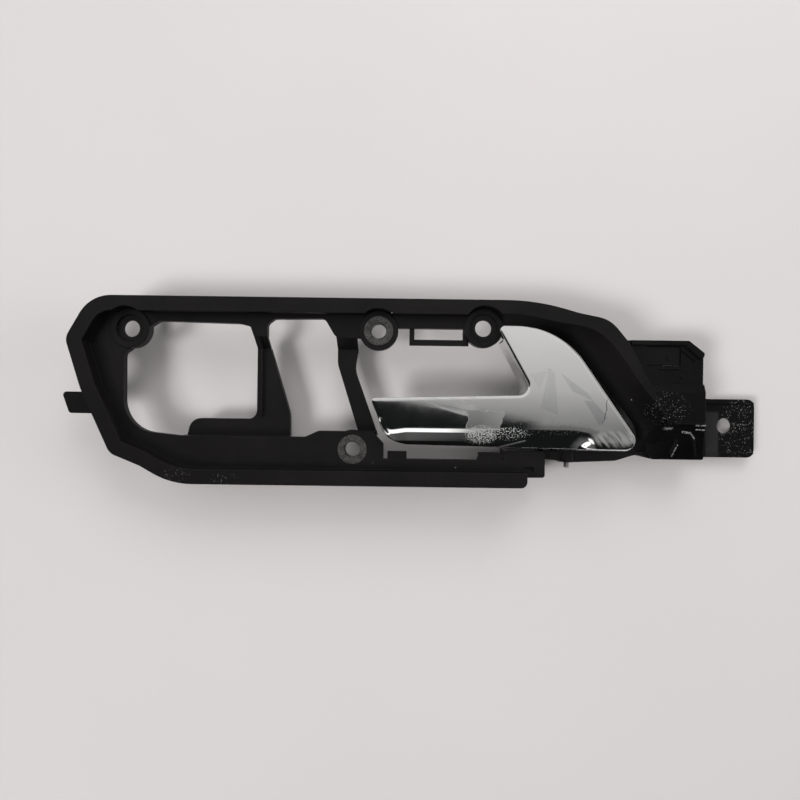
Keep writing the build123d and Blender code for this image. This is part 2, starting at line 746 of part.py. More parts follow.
# ---------------------------------------------------------------- lever
grip_left = -26.6
lever_right = 124.7
lever_bottom = well_bottom + 1.1    # lower edge of the lever at its right end
lever_edge = [
    (42.6, top - 14.4, 2.5),
    (77.3, top - 14.2, 45),
    (lever_right, lever_bottom, 6),
    (grip_left + 10.8, lever_bottom + 2.3, 18.5),
    (grip_left, bottom + 48.9, 2),
    (63.1, bottom + 51.6, 4.9),
]
lever_wall = 2.0
lever_inside = lever_front - lever_skin
lever_edge_round = 0.9
grip_right = 62.0
grip_top = 2.0
grip_rib_y = -15.0
plate_low_y = -19.5                 # lower edge of the hinge body's plate, above the facet
return_lean = 0.21                  # sideways per millimetre of depth
inner_corner = Vector(*lever_edge[-1][:2])
inner_edge_high = Vector(45.4, 32.2)
inner_edge_normal = (inner_edge_high - inner_corner).rotate(Axis.Z, -90).normalized()

# The facet along the lower edge: its crease on the face, a line down the slope, and its foot.
facet_crease = [
    (-30, -22), (-14.7, -21), (-6.7, -19.4), (44.3, -19.3), (69.5, -20.4),
    (83.1, -20.5), (89.2, -23.2), (95.6, -29.5), (98, -38),
]
facet_middle = [
    (-30, -27), (-14.7, -26), (-6.7, -25.6), (44.3, -25.6), (69.5, -26),
    (81.0, -26), (86.5, -27.6), (91.0, -31.4), (93, -38),
]
facet_foot = [
    (-30, -31), (-14.7, -29), (-6.7, -29), (44.3, -29.7), (69.5, -30.2),
    (78.0, -30.4), (83.5, -31.2), (86.0, -33.0), (88, -38),
]

with BuildPart() as facet_space:
    for points, z in (
        (facet_foot, lever_front - 5.0),
        (facet_middle, lever_front - 1.6),
        (facet_crease, lever_front),
    ):
        with BuildSketch(Plane.XY.offset(z)):
            Polygon(*points, (-30, -38), align=None)
    loft(ruled=True)

with BuildSketch() as lever_plan:
    with BuildLine():
        rounded(lever_edge)
    make_face()

rib_places = [(x, grip_rib_y) for x in (-12.0, 4.0, 20.0, 36.0, 52.0)]
with BuildPart() as lever_hollow:
    with BuildSketch():
        add(offset(lever_plan.sketch, amount=-lever_wall, mode=Mode.PRIVATE))
    extrude(amount=lever_inside)
    with Locations((0, 0, -lever_skin)):
        add(facet_space.part, mode=Mode.SUBTRACT)
    # cross ribs inside the finger bar
    with Locations(*[(x, y, lever_inside) for x, y in rib_places]):
        Box(
            1.4, 40.0, grip_depth - lever_skin - 2.0,
            align=(Align.CENTER, Align.CENTER, Align.MAX), mode=Mode.SUBTRACT,
        )

with BuildPart() as release_lever:
    with BuildSketch(Plane.XY.offset(lever_front - lever_rim)):
        add(lever_plan.sketch)
    extrude(amount=lever_rim)
    # the finger bar is deeper
    with BuildSketch(Plane.XY.offset(lever_front - grip_depth)):
        add(lever_plan.sketch)
        with Locations((grip_right, grip_top)):
            Rectangle(200, 200, align=(Align.MAX, Align.MAX), mode=Mode.INTERSECT)
    extrude(amount=grip_depth)
    fillet(release_lever.faces().sort_by(Axis.Z)[-1].edges(), radius=lever_edge_round)
    add(facet_space.part, mode=Mode.SUBTRACT)
    add(lever_hollow.part, mode=Mode.SUBTRACT)
    # wall that hangs from the slanted inner edge, round its corner, and leans into the finger gap
    with BuildSketch(Plane.XY.offset(lever_front - lever_rim + 1.0)):
        add(lever_plan.sketch)
        offset(amount=-lever_wall, mode=Mode.SUBTRACT)
        Polygon(
            inner_edge_high,
            inner_edge_high + inner_edge_normal * 2 * lever_wall,
            (inner_corner.X + 2.0, inner_corner.Y + 6.0),
            (inner_corner.X + 2.0, inner_corner.Y - 2.0),
            (inner_corner.X - 8.0, inner_corner.Y - 2.0),
            inner_edge_high - inner_edge_normal * 2 * lever_wall,
            align=None, mode=Mode.INTERSECT,
        )
    extrude(amount=return_depth - lever_rim + 1.0, dir=Vector(0, 0, -1) - inner_edge_normal * return_lean)
    # its upper corner clears the round boss beside it
    with Locations((*right_boss, 0)):
        Cylinder(
            boss_radius + lever_gap, lever_front - lever_rim,
            align=(Align.CENTER, Align.CENTER, Align.MIN), mode=Mode.SUBTRACT,
        )
release_lever.part.label = "release_lever"
export_step(release_lever.part, "parts/release_lever.step")

# ---------------------------------------------------------------- lever hinge body
plate_thickness = 2.3
plate_back = lever_inside - plate_thickness
lower_lug_y = well_bottom + side_play
pad_front = plate_back
pad_radius = 3.4
buffer_front = 19.7
eye_radius = 1.8

with BuildPart() as lever_hinge_body:
    # plate bonded under the lever's face
    with BuildSketch(Plane.XY.offset(plate_back)):
        add(offset(lever_plan.sketch, amount=-(lever_wall + soft_gap), mode=Mode.PRIVATE))
        with Locations((pivot_x + 18.0, plate_low_y)):
            Rectangle(
                38.0, crank_y + lug_width / 2 - plate_low_y,
                align=(Align.MAX, Align.MIN), mode=Mode.INTERSECT,
            )
    extrude(amount=plate_thickness)
    # barrels round the pin
    for y in (lower_lug_y, crank_y - lug_width / 2):
        with BuildSketch(Plane.XZ.offset(-y)):
            with Locations((pivot_x, pivot_z)):
                Circle(lug_radius)
        extrude(amount=-lug_width)
    # web of the lower lug, sloped up to the plate
    with BuildSketch(Plane.YZ.offset(pivot_x - lug_radius)):
        Polygon(
            (lower_lug_y, pivot_z),
            (lower_lug_y, pivot_z + 5.0),
            (plate_low_y - 1.0, plate_back + 1.0),
            (plate_low_y + 4.0, plate_back + 1.0),
            (plate_low_y + 4.0, plate_back - 2.0),
            (lower_lug_y + lug_width, pivot_z),
            align=None,
        )
    extrude(amount=2 * lug_radius)
    # web of the upper lug and the cable arm below it
    with BuildSketch(Plane.XZ.offset(-(crank_y - lug_width / 2))):
        Polygon(
            (pivot_x - lug_radius, pivot_z),
            (pivot_x + lug_radius, pivot_z),
            (pivot_x - 0.5, plate_back - 2.5),
            (pivot_x - 0.5, plate_back + 1.0),
            (pivot_x - 15.0, plate_back + 1.0),
            (pivot_x - 15.0, plate_back),
            align=None,
        )
        with Locations((pivot_x, cable_z)):
            Circle(eye_radius + 1.4)
        with Locations((pivot_x, pivot_z)):
            Rectangle(2 * (eye_radius + 1.4), crank_length, align=(Align.CENTER, Align.MAX))
        with Locations((pivot_x, cable_z)):
            Circle(eye_radius, mode=Mode.SUBTRACT)
    extrude(amount=-lug_width)
    # stop pads over the rubber buffers
    with Locations(*[(bridge_x, y, buffer_front + soft_gap) for y in buffer_y]):
        Cylinder(
            pad_radius, plate_back + 1.0 - buffer_front - soft_gap,
            align=(Align.CENTER, Align.CENTER, Align.MIN),
        )
    # the running bore
    with BuildSketch(Plane.XZ):
        with Locations((pivot_x, pivot_z)):
            Circle(pin_radius + pin_clearance)
    extrude(amount=200, both=True, mode=Mode.SUBTRACT)
lever_hinge_body.part.label = "lever_hinge_body"
export_step(lever_hinge_body.part, "parts/lever_hinge_body.step")

# ---------------------------------------------------------------- hinge pin
with BuildPart() as hinge_pin:
    with BuildSketch(Plane.XZ.offset(-pin_top_y)):
        with Locations((pivot_x, pivot_z)):
            Circle(pin_radius)
    extrude(amount=pin_top_y - ledge_wall_y + pin_stub)
    chamfer(hinge_pin.edges().group_by(Axis.Y)[0], length=0.3)
hinge_pin.part.label = "hinge_pin"
export_step(hinge_pin.part, "parts/hinge_pin.step")

# ---------------------------------------------------------------- return spring
spring_wire = 0.6
spring_radius = 2.9
spring_pitch = 2.0
spring_turns = 4
spring_low_y = -9.0
spring_high_y = spring_low_y + spring_turns * spring_pitch
with BuildPart() as return_spring:
    with BuildLine():
        coil = Helix(
            pitch=spring_pitch, height=spring_turns * spring_pitch, radius=spring_radius,
            center=(pivot_x, spring_low_y, pivot_z), direction=(0, 1, 0),
        )
    with BuildSketch(Plane(coil @ 0, z_dir=coil % 0)):
        RegularPolygon(radius=spring_wire, side_count=6)
    sweep(path=coil, is_frenet=True)
    # one leg rests on the bridge, the other under the lever's plate
    for start, end in (
        (coil @ 0, Vector(bridge_x, spring_low_y, bridge_front + spring_wire)),
        (coil @ 1, Vector(pivot_x + 11.0, spring_high_y, plate_back - spring_wire)),
    ):
        with BuildSketch(Plane(start, z_dir=end - start)):
            RegularPolygon(radius=spring_wire, side_count=6)
        extrude(amount=(end - start).length)
return_spring.part.label = "return_spring"
export_step(return_spring.part, "parts/return_spring.step")

# ---------------------------------------------------------------- screw bushes
for place, front, name in (
    (upper_boss, boss_front, "upper_screw_bush"),
    (lower_boss, floor_front, "lower_screw_bush"),
):
    with BuildPart() as bush:
        with Locations((*place, bush_bottom)):
            Cylinder(
                bush_barrel_radius, front + bush_proud - bush_bottom,
                align=(Align.CENTER, Align.CENTER, Align.MIN),
            )
        with Locations((*place, front + bush_proud)):
            Cylinder(
                bush_flange_radius, bush_flange_thickness,
                align=(Align.CENTER, Align.CENTER, Align.MAX),
            )
            Cylinder(bush_hole_radius, 60, mode=Mode.SUBTRACT)
        # four pressed marks on the flange
        with Locations((*place, front + bush_proud)):
            with PolarLocations(bush_flange_radius - 1.6, 4, start_angle=45):
                Box(3.2, 0.9, 0.7, mode=Mode.SUBTRACT)
        bore_edges = bush.faces().sort_by(Axis.Z)[-1].edges().filter_by(GeomType.CIRCLE)
        chamfer(bore_edges.sort_by(SortBy.RADIUS)[0], length=0.4)
    bush.part.label = name
    export_step(bush.part, f"parts/{name}.step")

# ---------------------------------------------------------------- rest buffers
with BuildPart() as rest_buffers:
    with Locations(*[(bridge_x, y, bridge_front) for y in buffer_y]):
        Cylinder(3.0, buffer_front - bridge_front, align=(Align.CENTER, Align.CENTER, Align.MIN))
        Cylinder(buffer_stem_radius, 6.0, align=(Align.CENTER, Align.CENTER, Align.MAX))
    chamfer(rest_buffers.edges().group_by(Axis.Z)[-1], length=0.7)
rest_buffers.part.label = "rest_buffers"
export_step(rest_buffers.part, "parts/rest_buffers.step")

# ---------------------------------------------------------------- cable retainer
retainer_play = 0.25
retainer_back = upper_box_front - wall
retainer_front = upper_box_front - 0.6
with BuildPart() as cable_retainer:
    with Locations((window_corner[0] + retainer_play, window_corner[1] + retainer_play, retainer_back)):
        Box(
            window_size[0] - 2 * retainer_play, window_size[1] - 2 * retainer_play,
            retainer_front - retainer_back, align=Align.MIN,
        )
    # moulding pip on the face
    with Locations((window_corner[0] + 13.4, window_corner[1] + 4.6, retainer_front)):
        Cylinder(1.5, 0.5, align=(Align.CENTER, Align.CENTER, Align.MIN))
    # tongue that presses the sheath into its seat
    with Locations((seat_rib_x + wall / 2 + 1.0, seat_y, retainer_back)):
        Box(
            2.0, 5.0, retainer_back - cable_z - cable_slot_radius - soft_gap,
            align=(Align.MIN, Align.CENTER, Align.MAX),
        )
    # snap legs with hooks behind the skin
    for x, out in (
        (window_corner[0] + retainer_play, -1),
        (window_corner[0] + window_size[0] - retainer_play, 1),
    ):
        with Locations((x, window_corner[1] + window_size[1] / 2, retainer_back)):
            Box(
                1.4, 6.0, 4.0,
                align=(Align.MIN if out < 0 else Align.MAX, Align.CENTER, Align.MAX),
            )
        with BuildSketch(Plane.XZ.offset(-(window_corner[1] + window_size[1] / 2 - 3.0))):
            Polygon(
                (x, retainer_back - 0.1),
                (x + out * 1.1, retainer_back - 0.1),
                (x, retainer_back - 3.0),
                align=None,
            )
        extrude(amount=-6.0)
cable_retainer.part.label = "cable_retainer"
export_step(cable_retainer.part, "parts/cable_retainer.step")
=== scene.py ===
"""Looks of an inside door release handle: black moulded carrier, chromed lever, steel fittings.

Metres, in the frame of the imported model: +Z out of the face, +X towards the fixing tab, +Y up.
"""
import math

import bmesh
import bpy
import numpy as np
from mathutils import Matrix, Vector


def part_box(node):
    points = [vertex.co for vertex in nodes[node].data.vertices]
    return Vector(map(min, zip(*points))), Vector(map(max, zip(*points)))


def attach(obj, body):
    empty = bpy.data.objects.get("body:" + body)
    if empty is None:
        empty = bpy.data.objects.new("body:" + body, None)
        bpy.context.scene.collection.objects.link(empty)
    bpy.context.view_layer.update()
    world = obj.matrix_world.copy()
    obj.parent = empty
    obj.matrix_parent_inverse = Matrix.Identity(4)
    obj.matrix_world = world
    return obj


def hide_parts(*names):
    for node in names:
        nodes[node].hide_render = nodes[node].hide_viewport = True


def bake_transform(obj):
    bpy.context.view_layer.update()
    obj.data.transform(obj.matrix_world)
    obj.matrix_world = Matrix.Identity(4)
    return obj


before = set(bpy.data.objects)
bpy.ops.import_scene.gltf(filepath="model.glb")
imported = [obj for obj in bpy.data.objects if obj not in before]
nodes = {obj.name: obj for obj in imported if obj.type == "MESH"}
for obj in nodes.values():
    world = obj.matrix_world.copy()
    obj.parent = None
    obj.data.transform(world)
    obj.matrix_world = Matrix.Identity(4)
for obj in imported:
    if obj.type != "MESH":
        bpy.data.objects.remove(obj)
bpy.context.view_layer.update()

# ---------------------------------------------------------------- bench, light and camera
# The handle lies face up on a sheet of matt white board. A window off to the lower left lights
# it, and the ceiling and a pale wall on the right fill its shadows.
scene = bpy.context.scene
scene.view_settings.view_transform = "Standard"

CAMERA_PLACE = (-0.010, -0.004, 0.340)
CAMERA_TURN = math.radians(0.75)
CAMERA_LENS = 25.2
CAMERA_SENSOR = 36.0
BOARD_SIZE = 6.0
BOARD_GAP = 0.0002
BOARD_MOTTLE = 1.04
BOARD_COLOUR = (0.640, 0.622, 0.618)
BACKDROP_COLOUR = (0.74, 0.72, 0.715)
SKY_COLOUR = (1.0, 0.985, 0.98)
SKY_STRENGTH = 0.62


def put(tree, kind, inputs={}, **options):
    """Adds one shader node; inputs are its sockets, each a value or another node's output."""
    made = tree.nodes.new("ShaderNode" + kind)
    for option, value in options.items():
        setattr(made, option, value)
    for socket, value in inputs.items():
        if isinstance(value, bpy.types.NodeSocket):
            tree.links.new(value, made.inputs[socket])
        else:
            made.inputs[socket].default_value = value
    return made


def finish_named(name):
    """Empty material: its node tree, its principled shader and the place on the part in metres."""
    material = bpy.data.materials.new(name)
    material.use_nodes = True
    tree = material.node_tree
    shader = tree.nodes["Principled BSDF"]
    place = put(tree, "TexCoord").outputs["Object"]
    return material, tree, shader, place


def noise(tree, place, scale, detail=3.0, rough=0.5):
    """Noise height, 0 to 1."""
    made = put(tree, "TexNoise", {"Vector": place, "Scale": scale, "Detail": detail, "Roughness": rough})
    return made.outputs["Fac"]


def span(tree, value, low, high, to_low=0.0, to_high=1.0, soft=False):
    """Maps low..high onto to_low..to_high and holds it there."""
    kind = "SMOOTHSTEP" if soft else "LINEAR"
    made = put(
        tree, "MapRange",
        {"Value": value, "From Min": low, "From Max": high, "To Min": to_low, "To Max": to_high},
        interpolation_type=kind,
    )
    return made.outputs["Result"]


def maths(tree, kind, a, b, clamp=False):
    """Arithmetic on two values: ADD, SUBTRACT, DIVIDE, MAXIMUM and the like."""
    made = put(tree, "Math", {0: a, 1: b}, operation=kind, use_clamp=clamp)
    return made.outputs[0]


def product(tree, first, *others):
    """All the values multiplied together."""
    for other in others:
        first = maths(tree, "MULTIPLY", first, other)
    return first


def blend_colour(tree, factor, a, b):
    """Mixes two colours."""
    made = put(tree, "Mix", {0: factor, 6: a, 7: b}, data_type="RGBA")
    return made.outputs[2]


bench_mesh = bmesh.new()
bmesh.ops.create_grid(bench_mesh, x_segments=8, y_segments=8, size=BOARD_SIZE / 2)
bench_data = bpy.data.meshes.new("bench_board")
bench_mesh.to_mesh(bench_data)
bench_mesh.free()
bench = bpy.data.objects.new("bench_board", bench_data)
scene.collection.objects.link(bench)
bench.location.z = -BOARD_GAP
board, tree, shader, place = finish_named("matt_board")
mottle = span(tree, noise(tree, place, 3.0), 0.3, 0.7)
board_light = [part * BOARD_MOTTLE for part in BOARD_COLOUR]
base = blend_colour(tree, mottle, (*BOARD_COLOUR, 1), (*board_light, 1))
tree.links.new(base, shader.inputs["Base Color"])
tree.links.new(span(tree, noise(tree, place, 260.0), 0.3, 0.7, 0.75, 0.9), shader.inputs["Roughness"])
shader.inputs["Specular IOR Level"].default_value = 0.15
bench_data.materials.append(board)

world = bpy.data.worlds.new("room")
scene.world = world
world.use_nodes = True
tree = world.node_tree
background = tree.nodes["Background"]
direction = put(tree, "TexCoord").outputs["Generated"]
axes = put(tree, "SeparateXYZ", {0: direction}).outputs
rise = maths(tree, "MAXIMUM", axes["Z"], 0.05)
aside = maths(tree, "DIVIDE", axes["X"], rise)
ahead = maths(tree, "DIVIDE", axes["Y"], rise)

# the pale ceiling falls off towards the near side, where whoever stands at the bench shades it
lean = maths(tree, "ADD", ahead, product(tree, aside, 0.16))
ceiling = maths(
    tree, "ADD", span(tree, ahead, -0.09, 0.02, 0.20, 0.76), span(tree, ahead, 0.0, 0.16, 0.0, 0.38),
)
ceiling = product(tree, ceiling, span(tree, lean, -0.016, -0.006), span(tree, aside, 0.5, 0.8, 1.0, 0.35))
past_shoulder = product(
    tree, span(tree, aside, 0.225, 0.262), span(tree, aside, 0.5, 0.8, 1.0, 0.2),
    span(tree, ahead, -0.09, 0.0, 0.24, 0.68), span(tree, ahead, -0.27, -0.17),
)
# under the arm a lamp tube shows, the lit wall below it, and a window with a slanted side
lamp_tube = product(
    tree, span(tree, ahead, -0.14, -0.17), span(tree, ahead, -0.44, -0.38), span(tree, aside, 0.15, 0.07),
    span(tree, aside, -0.17, -0.10), 2.2,
)
wall_glow = product(
    tree, span(tree, ahead, -0.15, -0.3), span(tree, ahead, -4.0, -0.5),
    span(tree, aside, 0.24, -0.10), span(tree, aside, -0.24, -0.12), 0.24,
)
slant = maths(tree, "SUBTRACT", aside, product(tree, ahead, 0.48))
window = product(
    tree, span(tree, aside, -0.06, -0.10), span(tree, aside, -0.42, -0.36),
    span(tree, ahead, -0.36, -0.40), span(tree, ahead, -1.00, -0.90),
    span(tree, slant, 0.015, 0.035), span(tree, slant, 0.150, 0.125), 2.4,
)
left_wall = span(tree, axes["X"], -0.72, -0.90, 0.0, 0.30)
right_wall = span(tree, axes["X"], 0.60, 0.88, 0.0, 0.90)
light = ceiling
for other in (past_shoulder, lamp_tube, wall_glow, window, left_wall, right_wall):
    light = maths(tree, "MAXIMUM", light, other)
shade = blend_colour(tree, span(tree, light, 0.0, 0.25), (0.050, 0.060, 0.058, 1), (*SKY_COLOUR, 1))
# seen directly, past the edge of the board, the room is plain and pale
seen = put(tree, "LightPath").outputs["Is Camera Ray"]
tree.links.new(blend_colour(tree, seen, shade, (*BACKDROP_COLOUR, 1)), background.inputs["Color"])
strength = product(tree, maths(tree, "MAXIMUM", light, 0.25), SKY_STRENGTH)
tree.links.new(span(tree, seen, 0.0, 1.0, strength, 1.0), background.inputs["Strength"])


def soft_lamp(name, place, size, power):
    """Square area lamp that faces the handle; it has no mirror image in the chrome."""
    data = bpy.data.lights.new(name, "AREA")
    data.size = size
    data.energy = power
    data.color = (1.0, 0.98, 0.975)
    lamp = bpy.data.objects.new(name, data)
    lamp.location = place
    lamp.rotation_euler = Vector(place).to_track_quat("Z", "Y").to_euler()
    lamp.visible_glossy = False
    scene.collection.objects.link(lamp)


soft_lamp("window_light", (-1.60, -0.80, 1.95), 0.85, 42.0)
soft_lamp("ceiling_light", (0.15, 0.70, 0.62), 0.50, 3.0)
soft_lamp("pale_wall", (1.60, 0.15, 0.55), 0.80, 10.0)

camera_data = bpy.data.cameras.new("bench_camera")
camera_data.lens = CAMERA_LENS
camera_data.sensor_width = CAMERA_SENSOR
camera = bpy.data.objects.new("bench_camera", camera_data)
camera.location = CAMERA_PLACE
camera.rotation_euler = (0, 0, CAMERA_TURN)
scene.collection.objects.link(camera)
scene.camera = camera

# ---------------------------------------------------------------- carrier
# The black moulding that screws to the door: glass filled nylon with a fine satin grain,
# polished where it has rubbed, with dust and plaster specks from years in the door.


def soft_edges(tree, radius, samples=6):
    """Normal with the sharp arrises rounded off, and how much of an arris a point is, 0 to 1."""
    rounded = put(tree, "Bevel", {"Radius": radius}, samples=samples).outputs["Normal"]
    true = put(tree, "NewGeometry").outputs["True Normal"]
    flat = put(tree, "VectorMath", {0: rounded, 1: true}, operation="DOT_PRODUCT").outputs["Value"]
    return rounded, span(tree, flat, 0.98, 0.78, soft=True)


def near(tree, place, centre, reach):
    """1 inside a soft ellipsoid round centre, falling to 0 at its reach."""
    off = put(tree, "VectorMath", {0: place, 1: centre}, operation="SUBTRACT").outputs[0]
    off = put(tree, "VectorMath", {0: off, 1: reach}, operation="DIVIDE").outputs[0]
    far = put(tree, "VectorMath", {0: off}, operation="LENGTH").outputs["Value"]
    return span(tree, far, 0.55, 1.0, 1.0, 0.0, soft=True)


def specks(tree, place, cell, size):
    """Scattered round specks, one at most in each cell, of uneven size."""
    cells = put(tree, "TexVoronoi", {"Vector": place, "Scale": 1.0 / cell, "Randomness": 1.0})
    draw = put(tree, "SeparateColor", {0: cells.outputs["Color"]})
    limit = span(tree, draw.outputs[0], 0.55, 1.0, 0.0, size / cell)
    return maths(tree, "LESS_THAN", cells.outputs["Distance"], limit)


def streaks(tree, place, turn, pitch, stretch, detail=3.0, rough=0.5):
    """Noise drawn out along one direction, turn degrees from +X."""
    turned = put(
        tree, "Mapping",
        {"Vector": place, "Rotation": (0, 0, math.radians(turn)), "Scale": (stretch, pitch, pitch)},
        vector_type="TEXTURE",
    ).outputs[0]
    return noise(tree, turned, 1.0, detail, rough)


def face_up(tree):
    """1 on surfaces that look out of the front of the part, 0 on its sides and back."""
    normal = put(tree, "TexCoord").outputs["Normal"]
    return span(tree, put(tree, "SeparateXYZ", {0: normal}).outputs["Z"], 0.15, 0.35)


def stroke(tree, flat, start, end, width, core=0.35):
    """1 along a straight stroke from start to end, seen from above, falling to 0 at its width."""
    along = Vector((end[0] - start[0], end[1] - start[1], 0))
    off = put(tree, "VectorMath", {0: flat, 1: (start[0], start[1], 0)}, operation="SUBTRACT").outputs[0]
    gauge = along / along.length_squared
    share = put(tree, "VectorMath", {0: off, 1: gauge}, operation="DOT_PRODUCT").outputs["Value"]
    share = span(tree, share, 0.0, 1.0)
    foot = put(tree, "VectorMath", {0: along, "Scale": share}, operation="SCALE").outputs[0]
    gap = put(tree, "VectorMath", {0: off, 1: foot}, operation="DISTANCE").outputs["Value"]
    return span(tree, gap, core * width, width, 1.0, 0.0, soft=True)


def emboss(tree, shader, height, strength, depth, rounded):
    """Gives the shader a fine relief on top of its rounded edges."""
    relief = put(tree, "Bump", {"Strength": strength, "Distance": depth, "Height": height, "Normal": rounded})
    tree.links.new(relief.outputs[0], shader.inputs["Normal"])


def dress(name, material):
    """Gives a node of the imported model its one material."""
    nodes[name].data.materials.clear()
    nodes[name].data.materials.append(material)


moulding, tree, shader, place = finish_named("black_moulding")
rounded, arris = soft_edges(tree, 0.0006)
cloud = noise(tree, place, 22.0, 5.0, 0.6)
handled = noise(tree, place, 95.0, 4.0, 0.6)
scratch = span(tree, streaks(tree, place, 24, 0.0003, 0.012, 4.0, 0.7), 0.66, 0.70)
wet = near(tree, place, (0.150, -0.010, 0.020), (0.036, 0.045, 0.05))
splashed = near(tree, place, (0.1400, -0.0070, 0.020), (0.0180, 0.0125, 0.05))
rubbed = near(tree, place, (0.1930, -0.0180, 0.005), (0.0160, 0.0240, 0.01))
lower_left = maths(
    tree, "MAXIMUM",
    near(tree, place, (-0.1326, -0.0463, 0.032), (0.0100, 0.0060, 0.03)),
    near(tree, place, (-0.1063, -0.0487, 0.032), (0.0110, 0.0045, 0.03)),
)
dusty = maths(tree, "MAXIMUM", rubbed, product(tree, splashed, 0.55))
dusty = maths(tree, "ADD", dusty, product(tree, lower_left, 0.55), clamp=True)
fine_specks = specks(tree, place, 0.00066, 0.00026)
few_specks = specks(tree, place, 0.0075, 0.00034)
speck = product(tree, fine_specks, span(tree, dusty, 0.15, 0.8, 0.0, 0.8))
speck = maths(tree, "MAXIMUM", speck, few_specks)
cloud = span(tree, cloud, 0.35, 0.7)
base = blend_colour(tree, cloud, (0.0048, 0.0043, 0.0045, 1), (0.0088, 0.0079, 0.0083, 1))
spot = put(tree, "SeparateXYZ", {0: place}).outputs
# painted shade: from x 0.120 to 0.142 the moulding turns darker, so the dish and housing read darker
base = blend_colour(tree, span(tree, spot["X"], 0.120, 0.142), base, (0.0017, 0.0016, 0.0018, 1))
base = blend_colour(tree, product(tree, arris, 0.35), base, (0.020, 0.020, 0.021, 1))
base = blend_colour(tree, product(tree, scratch, 0.35), base, (0.05, 0.05, 0.052, 1))
# the root of the tab is a paler band, and white strokes on the housing are painted highlights
tab_root = span(tree, spot["X"], 0.1715, 0.1730)
for axis, low, high in (("X", 0.1805, 0.1795), ("Z", 0.0075, 0.0065), ("Y", -0.0080, -0.0095)):
    tab_root = product(tree, tab_root, span(tree, spot[axis], low, high))
base = blend_colour(tree, tab_root, base, (0.022, 0.0215, 0.022, 1))
flat = put(tree, "VectorMath", {0: place, 1: (1, 1, 0)}, operation="MULTIPLY").outputs[0]
# painted glints: white strokes where the bead and folds of the lower box would catch the light
painted_glint = 0.0
for start, end, width in (
    ((0.1370, -0.0180), (0.1440, -0.0180), 0.00100),
    ((0.1570, -0.0163), (0.1670, -0.0162), 0.00060),
    ((0.1575, -0.0186), (0.1670, -0.0190), 0.00050),
    ((0.1500, -0.0200), (0.1545, -0.0206), 0.00080),
    ((0.1545, -0.0206), (0.1565, -0.0236), 0.00050),
    ((0.1445, -0.0339), (0.1475, -0.0275), 0.00055),
):
    painted_glint = maths(tree, "MAXIMUM", painted_glint, stroke(tree, flat, start, end, width))
broken = noise(tree, place, 900.0, 3.0, 0.6)
painted_glint = product(tree, painted_glint, span(tree, broken, 0.40, 0.52), face_up(tree))
base = blend_colour(tree, painted_glint, base, (0.24, 0.24, 0.24, 1))
base = blend_colour(tree, speck, base, (0.34, 0.34, 0.33, 1))
tree.links.new(base, shader.inputs["Base Color"])
gloss = span(tree, handled, 0.3, 0.75, 0.36, 0.52)
gloss = maths(tree, "SUBTRACT", gloss, product(tree, wet, 0.16))
gloss = maths(tree, "ADD", gloss, product(tree, speck, 0.3), clamp=True)
tree.links.new(gloss, shader.inputs["Roughness"])
shader.inputs["Specular IOR Level"].default_value = 0.20
height = product(tree, noise(tree, place, 300.0), 0.7)
height = maths(tree, "ADD", noise(tree, place, 2600.0, 2.0), height)
height = maths(tree, "SUBTRACT", height, product(tree, scratch, 0.8))
emboss(tree, shader, height, 0.35, 0.00006, rounded)
dress("carrier", moulding)

# ---------------------------------------------------------------- screw bushes
# Two pressed steel bushes that the fixing screws clamp on, let into the carrier's bosses. Zinc
# plated, dull and spangled, with dark stains where the screw heads have been.
bush_steel, tree, shader, place = finish_named("zinc_plated_steel")
rounded, arris = soft_edges(tree, 0.0003)
spangle = noise(tree, place, 1100.0, 4.0, 0.65)
stain = noise(tree, place, 240.0, 4.0, 0.6)
base = blend_colour(tree, span(tree, spangle, 0.35, 0.65), (0.060, 0.060, 0.059, 1), (0.205, 0.203, 0.198, 1))
base = blend_colour(tree, span(tree, stain, 0.5, 0.75), base, (0.05, 0.048, 0.045, 1))
base = blend_colour(tree, product(tree, arris, 0.5), base, (0.30, 0.30, 0.30, 1))
tree.links.new(base, shader.inputs["Base Color"])
shader.inputs["Metallic"].default_value = 0.85
tree.links.new(span(tree, spangle, 0.3, 0.7, 0.42, 0.62), shader.inputs["Roughness"])
emboss(tree, shader, spangle, 0.5, 0.00008, rounded)
dress("upper_screw_bush", bush_steel)
dress("lower_screw_bush", bush_steel)

# ---------------------------------------------------------------- hinge pin
# Drawn steel pin, pressed into the ear behind the lever. Its end stands out below the ledge,
# dull and a little rusty where the plating has gone.
pin_steel, tree, shader, place = finish_named("drawn_pin_steel")
rounded = soft_edges(tree, 0.0002)[0]
drawn = put(tree, "Mapping", {"Vector": place, "Scale": (2500.0, 60.0, 2500.0)}).outputs[0]
draw_lines = noise(tree, drawn, 1.0)
rust = span(tree, noise(tree, place, 420.0, 5.0, 0.65), 0.5, 0.68)
base = blend_colour(tree, draw_lines, (0.30, 0.30, 0.30, 1), (0.46, 0.46, 0.45, 1))
base = blend_colour(tree, product(tree, rust, 0.6), base, (0.13, 0.075, 0.045, 1))
tree.links.new(base, shader.inputs["Base Color"])
tree.links.new(maths(tree, "SUBTRACT", 1.0, rust), shader.inputs["Metallic"])
tree.links.new(span(tree, rust, 0.0, 1.0, 0.32, 0.75), shader.inputs["Roughness"])
emboss(tree, shader, draw_lines, 0.3, 0.00003, rounded)
dress("hinge_pin", pin_steel)

